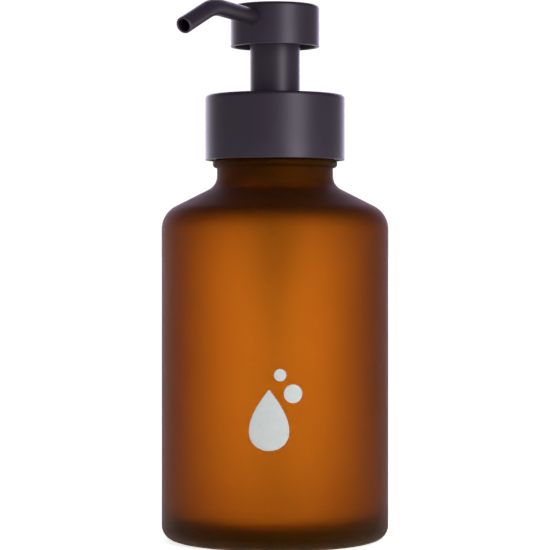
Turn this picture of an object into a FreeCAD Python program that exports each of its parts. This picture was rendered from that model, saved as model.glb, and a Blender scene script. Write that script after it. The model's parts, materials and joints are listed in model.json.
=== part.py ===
import FreeCAD, Part

# Foaming soap dispenser: a frosted glass bottle with a screw-on metal-clad foam pump.
# Row frame: +Z up, origin at the centre of the bottle's foot, spout pointing along -Y. Millimetres.
# Every piece is turned about the Z axis unless its own comment says otherwise.

import math
import os

import Sketcher

doc = FreeCAD.newDocument("foam_dispenser")
sheet = doc.addObject("Spreadsheet::Sheet", "Sizes")

# Driving dimensions, in millimetres, degrees where the name says angle, and plain counts.
SIZES = {
    # glass bottle
    "bottle_radius": 37.5,
    "body_height": 107.7,  # foot to the sharp corner where the side meets the shoulder cone
    "shoulder_slope": 0.505,  # rise of the shoulder cone for each millimetre inwards
    "glass_wall": 2.8,
    "base_thickness": 5.2,
    "base_hollow": 1.2,  # how far the base is pushed up inside its standing ring
    "foot_round": 4.6,
    "standing_inset": 2.0,  # standing ring's inner edge, inside the start of the foot's round
    "dome_inset": 6.0,  # width of the slope from the standing ring up to the pushed-up middle
    "shoulder_round": 8.5,
    "neck_root_round": 5.0,
    "neck_radius": 19.2,
    "neck_wall": 3.0,
    "neck_length": 7.16,  # from the shoulder cone to the middle of the neck bead
    "bead_stand": 1.4,
    "bead_height": 2.8,
    "finish_height": 12.9,  # from the middle of the bead to the lip
    "lip_round": 0.8,
    # screw thread shared by the bottle and the cap
    "thread_pitch": 4.2,
    "thread_depth": 1.0,
    "thread_rise": 5.25,  # height climbed by the thread from end to end
    "thread_start": 1.9,  # from the bead to the lower end of the bottle's thread
    "thread_foot": 2.2,  # axial width of the bottle's thread at its root
    "thread_crest": 1.0,
    "cap_thread_foot": 1.5,
    "cap_thread_crest": 0.7,
    "thread_clearance": 0.3,
    "thread_flank_gap": 0.25,
    # closure
    "cap_wall": 1.5,
    "cap_top": 1.5,
    "shell_wall": 1.1,
    "shell_round": 1.3,
    "skirt_gap": 1.1,  # shell's lower edge above the middle of the bead
    "clamp_height": 4.4,  # cap's clamp ring, from its top plate down to the pump flange
    "clamp_inset": 0.8,  # clamp ring's outside, inside the outside of the neck
    "clamp_wall": 2.4,
    "rib_wall": 1.5,
    # neck gasket and pump cylinder
    "gasket_thickness": 1.2,
    "gasket_gap": 0.2,  # gasket's hole to the outside of the cylinder
    "flange_thickness": 1.6,
    "cylinder_wall": 1.2,
    "cylinder_clearance": 0.6,  # cylinder to the inside of the glass neck
    "liquid_bore": 4.6,
    "liquid_depth": 32.3,  # floor of the air chamber to the ledge under the spring
    "vent_radius": 0.6,
    "vent_drop": 4.4,  # vent hole below the flange top
    "ball_chamber_radius": 2.6,
    "cage_gap": 0.15,  # lifted inlet ball to the cage above it
    "seat_bore": 1.2,
    "socket_depth": 9.4,
    "socket_flare": 0.6,  # socket's root is this much wider, over the height below
    "socket_flare_height": 1.5,
    # dip tube
    "tube_radius": 2.5,
    "tube_wall": 0.8,
    "tube_foot_gap": 2.6,
    "tube_cut_rise": 4.0,  # height of the slanted cut at its foot
    "cut_margin": 1.0,  # how far the cutting outline stands clear of the tube
    # valves and spring
    "inlet_ball_radius": 2.1,
    "inlet_ball_lift": 1.0,
    "cage_thickness": 1.0,
    "cage_hole_radius": 0.8,
    "cage_hole_count": 5,
    "outlet_ball_radius": 2.1,
    "outlet_ball_lift": 1.0,
    "seat_cone": 1.4142,  # ball centre above the apex of its right-angled seat, in ball radii
    "ball_cup": 0.8,  # stem's cup is this much wider than its ball needs
    "cup_rim": 0.4,  # wall of the stem's head round the top of its cup
    "ball_rest": 0.08,  # small lift that keeps each ball off its seat
    "spring_wire": 0.9,
    "spring_radius": 3.55,
    "spring_coils": 8.5,
    # moving piston
    "stroke": 12.0,
    "piston_floor_gap": 1.1,  # pressed air piston to the floor of the air chamber
    "fit": 0.1,  # radial clearance of running fits
    "seat_gap": 0.05,  # clearance between faces that only rest on each other
    "piston_skirt_wall": 1.0,
    "piston_skirt": 5.6,
    "piston_lip": 0.35,
    "piston_lip_height": 1.0,
    "air_lip_slope": 0.4,  # height of the slope behind each lip of the air piston
    "liquid_lip_slope": 0.6,
    "piston_drop": 1.6,  # top of the air piston's skirt below the flange top
    "piston_web": 1.2,
    "piston_play": 0.8,
    "intake_radius": 0.8,
    "intake_circle": 8.0,
    "intake_count": 6,
    "hub_wall": 1.4,
    "hub_height": 5.4,
    "hub_stand": 0.8,  # hub's top above the skirt's top
    "stem_radius": 3.3,
    "stem_bore": 1.7,
    "stem_spigot": 2.5,
    "stem_collar_radius": 5.4,
    "stem_collar_height": 1.0,
    "stem_collar_slope": 0.8,  # height of the slope under the collar
    "stem_drop": 2.0,  # top of the liquid piston below the floor of the air chamber
    "stem_head_slope": 0.5,  # height over which the stem's radius becomes its head's
    "stem_top": 7.7,  # top of the stem above the flange top
    "liquid_piston_height": 5.5,
    "membrane_thickness": 0.5,
    "membrane_radius": 11.5,
    "valve_grip_wall": 0.8,
    "valve_grip_height": 1.5,
    # foam chamber, mesh cartridge and head insert
    "chamber_radius": 5.15,
    "chamber_throat": 3.0,
    "chamber_plate": 1.0,
    "port_radius": 0.7,
    "port_circle": 2.0,
    "port_count": 5,
    "chamber_rim": 1.2,  # foam chamber's rim above its drilled plate
    "chamber_flange": 1.0,  # foot flange that stops against the cap's guide
    "mesh_tube_length": 10.0,
    "mesh_tube_wall": 0.85,
    "mesh_rim": 0.45,
    "mesh_thickness": 0.25,
    "core_tube_radius": 7.4,
    "gallery_height": 1.2,  # room above the spout's tube inside the insert
    "core_underside": 3.8,  # recess between the head shell's rim and the insert
    # metal neck sleeve, head shell and spout
    "sleeve_radius": 8.25,
    "sleeve_wall": 0.8,
    "sleeve_clearance": 0.3,
    "head_gap": 3.9,  # pressed head shell's rim above the closure's top
    "head_radius": 14.7,
    "head_height": 13.8,
    "head_wall": 1.1,
    "head_round": 1.3,
    "edge_round": 0.25,
    "spout_drop": 5.9,  # spout axis below the head's top, on the Z axis
    "spout_radius": 2.7,
    "spout_wall": 0.65,
    "spout_reach": 54.3,
    "spout_corner": 37.4,  # distance from the Z axis to the corner of the bend
    "spout_rise_angle": 3.5,
    "spout_fall_angle": 24.5,
    "spout_bend_radius": 18.0,
    "spout_inner_end": 5.6,
    "seal_wire": 0.45,
    "seal_place": 10.0,  # spout seal's distance from the Z axis
    "bore_overrun": 4.0,  # how far a bore for the spout runs on outside the head
}
for number, (alias, size) in enumerate(SIZES.items(), start=1):
    sheet.set(f"A{number}", alias)
    sheet.set(f"B{number}", str(size))
    sheet.setAlias(f"B{number}", alias)
doc.recompute()


class Size:
    """A length held both as a number and as the sheet expression that gives it."""

    def __init__(self, value, text):
        self.value = float(value)
        self.text = text

    @staticmethod
    def of(other):
        return other if isinstance(other, Size) else Size(other, repr(float(other)))

    def _join(self, other, sign, result):
        return Size(result, f"({self.text} {sign} {other.text})")

    def __add__(self, other):
        other = Size.of(other)
        return self._join(other, "+", self.value + other.value)

    def __sub__(self, other):
        other = Size.of(other)
        return self._join(other, "-", self.value - other.value)

    def __mul__(self, other):
        other = Size.of(other)
        return self._join(other, "*", self.value * other.value)

    def __truediv__(self, other):
        other = Size.of(other)
        return self._join(other, "/", self.value / other.value)

    def __radd__(self, other):
        return Size.of(other) + self

    def __rsub__(self, other):
        return Size.of(other) - self

    def __rmul__(self, other):
        return Size.of(other) * self

    def __neg__(self):
        return Size.of(0) - self


class Driving:
    """The sheet's sizes, read as attributes."""

    def __getattr__(self, alias):
        return Size(SIZES[alias], f"Sizes.{alias}")


def angle_function(name, function, angle):
    """A trigonometric function of a size in degrees."""
    return Size(function(math.radians(angle.value)), f"{name}({angle.text} * 1 deg)")


def tangent(angle):
    return angle_function("tan", math.tan, angle)


def sine(angle):
    return angle_function("sin", math.sin, angle)


def cosine(angle):
    return angle_function("cos", math.cos, angle)


s = Driving()
SAME_PLACE = 0.01  # two edges nearer than this are the same one

# ---------------------------------------------------------------- places that follow from the sizes
shoulder_top = s.body_height + (s.bottle_radius - s.neck_radius) * s.shoulder_slope
bead_z = shoulder_top + s.neck_length
mouth_z = bead_z + s.finish_height
neck_bore = s.neck_radius - s.neck_wall
thread_radius = s.neck_radius + s.thread_depth
cap_bore = thread_radius + s.thread_clearance
shell_bore = cap_bore + s.cap_wall
shell_radius = shell_bore + s.shell_wall
gasket_top = mouth_z + s.gasket_thickness
flange_top = gasket_top + s.flange_thickness
cap_ceiling = flange_top + s.clamp_height
cap_top_z = cap_ceiling + s.cap_top
closure_top = cap_top_z + s.shell_wall
closure_foot = bead_z + s.skirt_gap
cap_foot = bead_z + s.bead_height / 2 + s.thread_clearance
cylinder_radius = neck_bore - s.cylinder_clearance
air_bore = cylinder_radius - s.cylinder_wall
piston_top = flange_top - s.piston_drop
piston_foot = piston_top - s.piston_skirt
air_floor = piston_foot - s.stroke - s.piston_floor_gap
liquid_radius = s.liquid_bore + s.cylinder_wall
cage_z = air_floor - s.liquid_depth
inlet_ball_rise = s.inlet_ball_radius * s.seat_cone - s.ball_chamber_radius + s.ball_rest
chamber_floor = cage_z - s.cage_gap - s.inlet_ball_lift - s.inlet_ball_radius - inlet_ball_rise
socket_top = chamber_floor - (s.ball_chamber_radius - s.seat_bore) - s.cylinder_wall
socket_foot = socket_top - s.socket_depth
inlet_ball_z = chamber_floor + inlet_ball_rise
tube_socket = s.tube_radius + s.seat_gap
tube_foot = s.base_hollow + s.base_thickness + s.tube_foot_gap
sleeve_hole = s.sleeve_radius + s.sleeve_clearance
web_top = piston_top - s.piston_lip_height
hub_bore = s.stem_radius + s.fit
hub_radius = hub_bore + s.hub_wall
hub_top = piston_top + s.hub_stand
hub_foot = hub_top - s.hub_height
stem_collar_top = hub_foot - s.seat_gap
stem_top_z = flange_top + s.stem_top
stem_foot = air_floor - s.liquid_piston_height - s.stem_drop
chamber_foot_z = hub_top + s.piston_play + s.seat_gap
chamber_flange_top = chamber_foot_z + s.chamber_flange
guide_foot = chamber_flange_top + s.seat_gap
guide_radius = sleeve_hole + s.rib_wall
cup_radius = s.outlet_ball_radius + s.ball_cup
cup_depth = cup_radius - s.stem_bore
stem_head_radius = cup_radius + s.cup_rim
stem_head_foot = chamber_foot_z + s.stem_head_slope
outlet_ball_z = stem_top_z - cup_depth + s.outlet_ball_radius * s.seat_cone - s.stem_bore + s.ball_rest
throat_ceiling = outlet_ball_z + s.outlet_ball_radius + s.outlet_ball_lift + s.seat_gap
plate_top = throat_ceiling + s.chamber_plate
chamber_top_z = plate_top + s.chamber_rim
mesh_foot_z = chamber_top_z + s.seat_gap
mesh_top_z = mesh_foot_z + s.mesh_tube_length
core_bore = s.chamber_radius + s.fit
sleeve_foot = chamber_flange_top + s.seat_gap * 2
head_foot = closure_top + s.stroke + s.head_gap
head_top = head_foot + s.head_height
core_top = head_top - s.head_wall
core_radius = s.head_radius - s.head_wall - s.seat_gap
core_foot = head_foot + s.core_underside
spout_z = head_top - s.spout_drop


# ---------------------------------------------------------------- modelling helpers
def new_body(name):
    body = doc.addObject("PartDesign::Body", name)
    body.Label = name
    return body


def origin_plane(body, role):
    """One of the body's own origin planes, found by its role."""
    return next(f for f in body.Origin.OriginFeatures if f.Role == role)


def new_sketch(body, name, role="XZ_Plane", shift=None):
    """A sketch on one of the body's origin planes; shift moves it along the plane's normal."""
    sketch = body.newObject("Sketcher::SketchObject", f"{body.Name}_{name}")
    sketch.AttachmentSupport = [(origin_plane(body, role), "")]
    sketch.MapMode = "FlatFace"
    if shift is not None:
        sketch.setExpression("AttachmentOffset.Base.z", shift.text)
    return sketch


def fix_point(sketch, geometry, end, name, across, up):
    """Holds one end of a sketch line at (across, up), both sizes."""
    for kind, axis, size in (("DistanceX", "x", across), ("DistanceY", "y", up)):
        if size.value == 0.0 and kind == "DistanceX":
            sketch.addConstraint(Sketcher.Constraint("PointOnObject", geometry, end, -2))
            continue
        constraint = Sketcher.Constraint(kind, -1, 1, geometry, end, size.value)
        index = sketch.addConstraint(constraint)
        sketch.renameConstraint(index, f"{name}_{axis}")
        sketch.setExpression(f"Constraints.{name}_{axis}", size.text)


def draw_outline(sketch, points, name="corner"):
    """A closed outline of straight lines through (across, up) points."""
    points = [(Size.of(a), Size.of(b)) for a, b in points]
    first = sketch.GeometryCount
    total = len(points)
    vectors = [FreeCAD.Vector(a.value, b.value, 0) for a, b in points]
    for i in range(total):
        sketch.addGeometry(Part.LineSegment(vectors[i], vectors[(i + 1) % total]), False)
    for i in range(total):
        after = first + (i + 1) % total
        sketch.addConstraint(Sketcher.Constraint("Coincident", first + i, 2, after, 1))
    for i, (across, up) in enumerate(points):
        fix_point(sketch, first + i, 1, f"{name}{i}", across, up)


def turned(name, *outlines):
    """A body turned about Z from closed (radius, height) outlines."""
    body = new_body(name)
    sketch = new_sketch(body, "outline")
    for number, outline in enumerate(outlines):
        draw_outline(sketch, outline, name=f"ring{number}_")
    revolution = body.newObject("PartDesign::Revolution", f"{name}_turned")
    revolution.Profile = sketch
    revolution.ReferenceAxis = (sketch, ["V_Axis"])
    revolution.Angle = 360
    doc.recompute()
    return body


def ring_edges(shape, rings):
    """Names of the circular edges about Z at each (radius, height)."""
    names = []
    for radius, height in rings:
        radius, height = Size.of(radius), Size.of(height)
        found = []
        for number, edge in enumerate(shape.Edges, start=1):
            curve = edge.Curve
            if not isinstance(curve, Part.Circle):
                continue
            misses = (curve.Center.z - height.value, curve.Radius - radius.value, curve.Center.x)
            if max(abs(miss) for miss in misses) < SAME_PLACE:
                found.append(f"Edge{number}")
        if not found:
            raise RuntimeError(f"no ring edge at radius {radius.value} height {height.value}")
        names += found
    return names


def rounded(body, size, *rings):
    """Rounds the body's rings at (radius, height)."""
    base = body.Tip
    fillet = body.newObject("PartDesign::Fillet", f"{body.Name}_round{len(body.Group)}")
    fillet.Base = (base, ring_edges(base.Shape, rings))
    fillet.Radius = size.value
    fillet.setExpression("Radius", size.text)
    doc.recompute()


def drilled(body, name, radius, distance, length, from_z, count):
    """Cuts a ring of count round holes along Z, on a circle of the given distance from the axis."""
    sketch = new_sketch(body, name, "XY_Plane", shift=from_z)
    centre = FreeCAD.Vector(distance.value, 0, 0)
    sketch.addGeometry(Part.Circle(centre, FreeCAD.Vector(0, 0, 1), radius.value), False)
    index = sketch.addConstraint(Sketcher.Constraint("Radius", 0, radius.value))
    sketch.renameConstraint(index, "hole")
    sketch.setExpression("Constraints.hole", radius.text)
    fix_point(sketch, 0, 3, "middle", distance, Size.of(0))
    pocket = body.newObject("PartDesign::Pocket", f"{body.Name}_{name}_cut")
    pocket.Profile = sketch
    pocket.Length = length.value
    pocket.setExpression("Length", length.text)
    pattern = body.newObject("PartDesign::PolarPattern", f"{body.Name}_{name}_ring")
    pattern.Originals = [pocket]
    pattern.Axis = (sketch, ["N_Axis"])
    pattern.Angle = 360
    pattern.Occurrences = int(count.value)
    pattern.setExpression("Occurrences", count.text)
    body.Tip = pattern
    doc.recompute()


def screw_thread(body, root, crest, middle, foot_width, crest_width):
    """Adds one right-handed thread bead that climbs thread_rise from its middle height."""
    sketch = new_sketch(body, "thread_section")
    draw_outline(
        sketch,
        [
            (root, middle - foot_width / 2),
            (crest, middle - crest_width / 2),
            (crest, middle + crest_width / 2),
            (root, middle + foot_width / 2),
        ],
    )
    helix = body.newObject("PartDesign::AdditiveHelix", f"{body.Name}_thread")
    helix.Profile = sketch
    helix.ReferenceAxis = (sketch, ["V_Axis"])
    helix.Mode = "pitch-height-angle"
    for prop, size in (("Pitch", s.thread_pitch), ("Height", s.thread_rise)):
        setattr(helix, prop, size.value)
        helix.setExpression(prop, size.text)
    helix.LeftHanded = False
    doc.recompute()


# ---------------------------------------------------------------- glass bottle
def make_bottle():
    """Hollow glass: pushed-up base, straight side, cone shoulder, beaded neck and screw thread."""
    inner_radius = s.bottle_radius - s.glass_wall
    # The inside cone keeps the wall's thickness square to the outside cone.
    cone_run = math.hypot(1.0, SIZES["shoulder_slope"])
    inner_corner = s.body_height - s.glass_wall * cone_run + s.glass_wall * s.shoulder_slope
    inner_neck = inner_corner + (inner_radius - neck_bore) * s.shoulder_slope
    bead_foot = bead_z - s.bead_height / 2
    bead_top = bead_z + s.bead_height / 2
    bead_radius = s.neck_radius + s.bead_stand
    floor = s.base_thickness
    standing = s.bottle_radius - s.foot_round - s.standing_inset
    dome = standing - s.dome_inset
    body = turned(
        "bottle",
        [
            (0, s.base_hollow),
            (dome, s.base_hollow),
            (standing, 0),
            (s.bottle_radius, 0),
            (s.bottle_radius, s.body_height),
            (s.neck_radius, shoulder_top),
            (s.neck_radius, bead_foot),
            (bead_radius, bead_foot),
            (bead_radius, bead_top),
            (s.neck_radius, bead_top),
            (s.neck_radius, mouth_z),
            (neck_bore, mouth_z),
            (neck_bore, inner_neck),
            (inner_radius, inner_corner),
            (inner_radius, floor),
            (dome, floor + s.base_hollow),
            (0, floor + s.base_hollow),
        ],
    )
    rounded(body, s.shoulder_round, (s.bottle_radius, s.body_height))
    rounded(body, s.shoulder_round - s.glass_wall, (inner_radius, inner_corner))
    rounded(body, s.neck_root_round, (s.neck_radius, shoulder_top))
    rounded(body, s.neck_root_round + s.glass_wall, (neck_bore, inner_neck))
    rounded(body, s.foot_round, (s.bottle_radius, 0), (inner_radius, floor))
    bead_round = s.bead_height / 2 - s.seat_gap
    rounded(body, bead_round, (bead_radius, bead_foot), (bead_radius, bead_top))
    rounded(body, s.lip_round, (s.neck_radius, mouth_z), (neck_bore, mouth_z))
    thread_middle = bead_top + s.thread_foot / 2 + s.thread_flank_gap + s.thread_start
    screw_thread(
        body,
        s.neck_radius - s.thread_flank_gap,
        thread_radius,
        thread_middle,
        s.thread_foot,
        s.thread_crest,
    )
    return body, thread_middle


# ---------------------------------------------------------------- closure
def make_collar_shell():
    """Spun metal cup over the screw cap, with a hole for the neck sleeve."""
    body = turned(
        "collar_shell",
        [
            (sleeve_hole, cap_top_z),
            (shell_bore, cap_top_z),
            (shell_bore, closure_foot),
            (shell_radius, closure_foot),
            (shell_radius, closure_top),
            (sleeve_hole, closure_top),
        ],
    )
    rounded(body, s.shell_round, (shell_radius, closure_top))
    rounded(body, s.edge_round, (shell_radius, closure_foot), (sleeve_hole, closure_top))
    return body


def make_screw_cap(thread_middle):
    """Moulded cap: threaded skirt, clamp ring on the pump flange and a ring that stops the piston."""
    clamp_outer = s.neck_radius - s.clamp_inset
    clamp_inner = clamp_outer - s.clamp_wall
    stop_outer = air_bore - s.thread_clearance
    stop_inner = stop_outer - s.rib_wall
    stop_foot = piston_top + s.piston_play + s.seat_gap
    body = turned(
        "screw_cap",
        [
            (sleeve_hole, cap_top_z),
            (sleeve_hole, guide_foot),
            (guide_radius, guide_foot),
            (guide_radius, cap_ceiling),
            (stop_inner, cap_ceiling),
            (stop_inner, stop_foot),
            (stop_outer, stop_foot),
            (stop_outer, cap_ceiling),
            (clamp_inner, cap_ceiling),
            (clamp_inner, flange_top),
            (clamp_outer, flange_top),
            (clamp_outer, cap_ceiling),
            (cap_bore, cap_ceiling),
            (cap_bore, cap_foot),
            (shell_bore, cap_foot),
            (shell_bore, cap_top_z),
        ],
    )
    # The cap's thread lies just under the bottle's thread and is pulled up against it.
    widths = s.thread_foot + s.thread_crest + s.cap_thread_foot + s.cap_thread_crest
    middle = thread_middle - widths / 4
    screw_thread(
        body,
        cap_bore + s.thread_flank_gap,
        s.neck_radius + s.thread_clearance,
        middle,
        s.cap_thread_foot,
        s.cap_thread_crest,
    )
    return body


# ---------------------------------------------------------------- pump engine that hangs in the bottle
def make_gasket():
    """Flat ring between the glass lip and the pump flange."""
    inner = cylinder_radius + s.gasket_gap
    outer = s.neck_radius
    return turned(
        "neck_gasket",
        [(inner, mouth_z), (outer, mouth_z), (outer, gasket_top), (inner, gasket_top)],
    )


def make_cylinder():
    """Stepped moulding: flange, wide air chamber, narrow liquid chamber, ball seat and tube socket."""
    seat_top = chamber_floor
    seat_foot = chamber_floor - (s.ball_chamber_radius - s.seat_bore)
    floor_foot = air_floor - s.cylinder_wall
    socket_radius = tube_socket + s.cylinder_wall
    shoulder = cage_z - s.cylinder_wall
    body = turned(
        "pump_cylinder",
        [
            (air_bore, flange_top),
            (s.neck_radius, flange_top),
            (s.neck_radius, gasket_top),
            (cylinder_radius, gasket_top),
            (cylinder_radius, floor_foot),
            (liquid_radius, floor_foot),
            (liquid_radius, shoulder),
            (socket_radius + s.socket_flare, chamber_floor),
            (socket_radius, chamber_floor - s.socket_flare_height),
            (socket_radius, socket_foot),
            (tube_socket, socket_foot),
            (tube_socket, socket_top),
            (s.seat_bore, socket_top),
            (s.seat_bore, seat_foot),
            (s.ball_chamber_radius, seat_top),
            (s.ball_chamber_radius, cage_z),
            (s.liquid_bore, cage_z),
            (s.liquid_bore, air_floor),
            (air_bore, air_floor),
        ],
    )
    rounded(body, s.cylinder_wall, (cylinder_radius, floor_foot))
    # Vent through the side of the air chamber; the piston's skirt covers it at rest.
    sketch = new_sketch(body, "vent", "YZ_Plane")
    vent_z = flange_top - s.vent_drop
    centre = FreeCAD.Vector(0, vent_z.value, 0)
    sketch.addGeometry(Part.Circle(centre, FreeCAD.Vector(0, 0, 1), SIZES["vent_radius"]), False)
    index = sketch.addConstraint(Sketcher.Constraint("Radius", 0, SIZES["vent_radius"]))
    sketch.renameConstraint(index, "hole")
    sketch.setExpression("Constraints.hole", "Sizes.vent_radius")
    fix_point(sketch, 0, 3, "middle", Size.of(0), vent_z)
    pocket = body.newObject("PartDesign::Pocket", "pump_cylinder_vent_cut")
    pocket.Profile = sketch
    pocket.Reversed = True
    reach = cylinder_radius + s.cylinder_wall
    pocket.Length = reach.value
    pocket.setExpression("Length", reach.text)
    doc.recompute()
    return body


def make_dip_tube():
    """Straight tube from the socket to the base, with a slanted foot."""
    bore = s.tube_radius - s.tube_wall
    top = socket_top - s.seat_gap
    body = turned(
        "dip_tube",
        [(bore, tube_foot), (s.tube_radius, tube_foot), (s.tube_radius, top), (bore, top)],
    )
    sketch = new_sketch(body, "slant")
    wide = s.tube_radius + s.cut_margin
    draw_outline(
        sketch,
        [
            (-wide, tube_foot - s.cut_margin),
            (wide, tube_foot - s.cut_margin),
            (wide, tube_foot + s.tube_cut_rise),
            (s.tube_radius, tube_foot + s.tube_cut_rise),
            (-s.tube_radius, tube_foot),
            (-wide, tube_foot),
        ],
    )
    pocket = body.newObject("PartDesign::Pocket", "dip_tube_slant_cut")
    pocket.Profile = sketch
    pocket.Midplane = True
    pocket.Length = (wide * 2).value
    pocket.setExpression("Length", (wide * 2).text)
    doc.recompute()
    return body


def make_ball(name, radius, height):
    """A steel check-valve ball with its centre on the axis."""
    ball = doc.addObject("Part::Sphere", name)
    ball.Label = name
    ball.Radius = radius.value
    ball.setExpression("Radius", radius.text)
    ball.Placement = FreeCAD.Placement(FreeCAD.Vector(0, 0, height.value), FreeCAD.Rotation())
    ball.setExpression("Placement.Base.z", height.text)
    return ball


def make_ball_cage():
    """Drilled disc over the inlet ball; the spring stands on it."""
    radius = s.liquid_bore - s.seat_gap
    top = cage_z + s.cage_thickness
    peg = s.spring_radius - s.spring_wire
    body = turned(
        "ball_cage",
        [
            (0, cage_z),
            (radius, cage_z),
            (radius, top),
            (peg, top),
            (peg, top + s.cage_thickness),
            (0, top + s.cage_thickness),
        ],
    )
    drilled(
        body, "ports", s.cage_hole_radius, s.ball_chamber_radius - s.cage_hole_radius,
        s.cage_thickness * 2, top + s.cage_thickness, s.cage_hole_count,
    )
    return body


def make_spring():
    """Helical return spring between the ball cage and the liquid piston."""
    foot = cage_z + s.cage_thickness + s.spring_wire / 2 + s.seat_gap
    top = stem_foot - s.spring_wire / 2 - s.seat_gap
    height = top - foot
    body = new_body("return_spring")
    sketch = new_sketch(body, "wire")
    centre = FreeCAD.Vector(s.spring_radius.value, foot.value, 0)
    wire = s.spring_wire / 2
    sketch.addGeometry(Part.Circle(centre, FreeCAD.Vector(0, 0, 1), wire.value), False)
    index = sketch.addConstraint(Sketcher.Constraint("Radius", 0, wire.value))
    sketch.renameConstraint(index, "wire")
    sketch.setExpression("Constraints.wire", wire.text)
    fix_point(sketch, 0, 3, "middle", s.spring_radius, foot)
    helix = body.newObject("PartDesign::AdditiveHelix", "return_spring_coil")
    helix.Profile = sketch
    helix.ReferenceAxis = (sketch, ["V_Axis"])
    helix.Mode = "pitch-height-angle"
    pitch = height / s.spring_coils
    for prop, size in (("Pitch", pitch), ("Height", height)):
        setattr(helix, prop, size.value)
        helix.setExpression(prop, size.text)
    doc.recompute()
    return body


# ---------------------------------------------------------------- piston that the head pushes down
def make_liquid_piston():
    """Soft cup seal on the stem's spigot, with a lip at each end."""
    outer = s.liquid_bore - s.fit
    waist = outer - s.piston_lip
    top = stem_foot + s.liquid_piston_height
    return turned(
        "liquid_piston",
        [
            (s.stem_spigot, stem_foot),
            (outer, stem_foot),
            (outer, stem_foot + s.piston_lip_height),
            (waist, stem_foot + s.piston_lip_height + s.liquid_lip_slope),
            (waist, top - s.piston_lip_height - s.liquid_lip_slope),
            (outer, top - s.piston_lip_height),
            (outer, top),
            (s.stem_spigot, top),
        ],
    )


def make_stem():
    """Hollow stem: spigot for the liquid piston, seal collar under the air piston, cupped head."""
    shoulder = stem_foot + s.liquid_piston_height
    return turned(
        "piston_stem",
        [
            (s.stem_bore, stem_foot),
            (s.stem_spigot, stem_foot),
            (s.stem_spigot, shoulder),
            (s.stem_radius, shoulder),
            (s.stem_radius, stem_collar_top - s.stem_collar_height - s.stem_collar_slope),
            (s.stem_collar_radius, stem_collar_top - s.stem_collar_height),
            (s.stem_collar_radius, stem_collar_top),
            (s.stem_radius, stem_collar_top),
            (s.stem_radius, chamber_foot_z),
            (stem_head_radius, stem_head_foot),
            (stem_head_radius, stem_top_z),
            (cup_radius, stem_top_z),
            (s.stem_bore, stem_top_z - cup_depth),
        ],
    )


def make_air_piston():
    """Wide piston: lipped skirt, drilled web and a hub that slides a little on the stem."""
    lip = air_bore - s.fit
    skirt = lip - s.piston_lip
    inside = skirt - s.piston_skirt_wall
    web_foot = web_top - s.piston_web
    body = turned(
        "air_piston",
        [
            (hub_bore, hub_foot),
            (hub_radius, hub_foot),
            (hub_radius, web_foot),
            (inside, web_foot),
            (inside, piston_foot),
            (lip, piston_foot),
            (lip, piston_foot + s.piston_lip_height),
            (skirt, piston_foot + s.piston_lip_height + s.air_lip_slope),
            (skirt, piston_top - s.piston_lip_height - s.air_lip_slope),
            (lip, piston_top - s.piston_lip_height),
            (lip, piston_top),
            (inside, piston_top),
            (inside, web_top),
            (hub_radius, web_top),
            (hub_radius, hub_top),
            (hub_bore, hub_top),
        ],
    )
    drilled(body, "intakes", s.intake_radius, s.intake_circle, s.piston_web, web_top, s.intake_count)
    return body


def make_air_valve():
    """Soft intake ring that lies against the web from below and opens on the up-stroke."""
    top = web_top - s.piston_web - s.seat_gap
    inner = hub_radius + s.seat_gap
    grip = top - s.valve_grip_height
    return turned(
        "air_valve",
        [
            (inner, top),
            (inner, grip),
            (inner + s.valve_grip_wall, grip),
            (inner + s.valve_grip_wall, top - s.membrane_thickness),
            (s.membrane_radius, top - s.membrane_thickness),
            (s.membrane_radius, top),
        ],
    )


def make_foam_chamber():
    """Tube on top of the stem where air meets soap, with a drilled plate over the outlet ball."""
    foot_bore = s.stem_radius + s.seat_gap
    head_bore = stem_head_radius + s.seat_gap
    bore = s.chamber_radius - s.mesh_tube_wall
    flange = guide_radius - s.fit
    body = turned(
        "foam_chamber",
        [
            (foot_bore, chamber_foot_z),
            (flange, chamber_foot_z),
            (flange, chamber_flange_top),
            (s.chamber_radius, chamber_flange_top),
            (s.chamber_radius, chamber_top_z),
            (bore, chamber_top_z),
            (bore, plate_top),
            (0, plate_top),
            (0, throat_ceiling),
            (s.chamber_throat, throat_ceiling),
            (s.chamber_throat, stem_top_z),
            (head_bore, stem_top_z),
            (head_bore, stem_head_foot),
        ],
    )
    drilled(body, "ports", s.port_radius, s.port_circle, s.chamber_plate, plate_top, s.port_count)
    return body


# ---------------------------------------------------------------- head
def make_mesh_holder():
    """Short tube that carries a foaming mesh at each end."""
    bore = s.chamber_radius - s.mesh_tube_wall
    recess = s.chamber_radius - s.mesh_rim
    deep = s.mesh_thickness
    return turned(
        "mesh_holder",
        [
            (bore, mesh_foot_z + deep),
            (recess, mesh_foot_z + deep),
            (recess, mesh_foot_z),
            (s.chamber_radius, mesh_foot_z),
            (s.chamber_radius, mesh_top_z),
            (recess, mesh_top_z),
            (recess, mesh_top_z - deep),
            (bore, mesh_top_z - deep),
        ],
    )


def make_mesh(name, foot):
    """A woven mesh disc, kept as a plain disc of its own thickness."""
    radius = s.chamber_radius - s.mesh_rim - s.seat_gap / 2
    return turned(
        name,
        [(0, foot), (radius, foot), (radius, foot + s.mesh_thickness), (0, foot + s.mesh_thickness)],
    )


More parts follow.
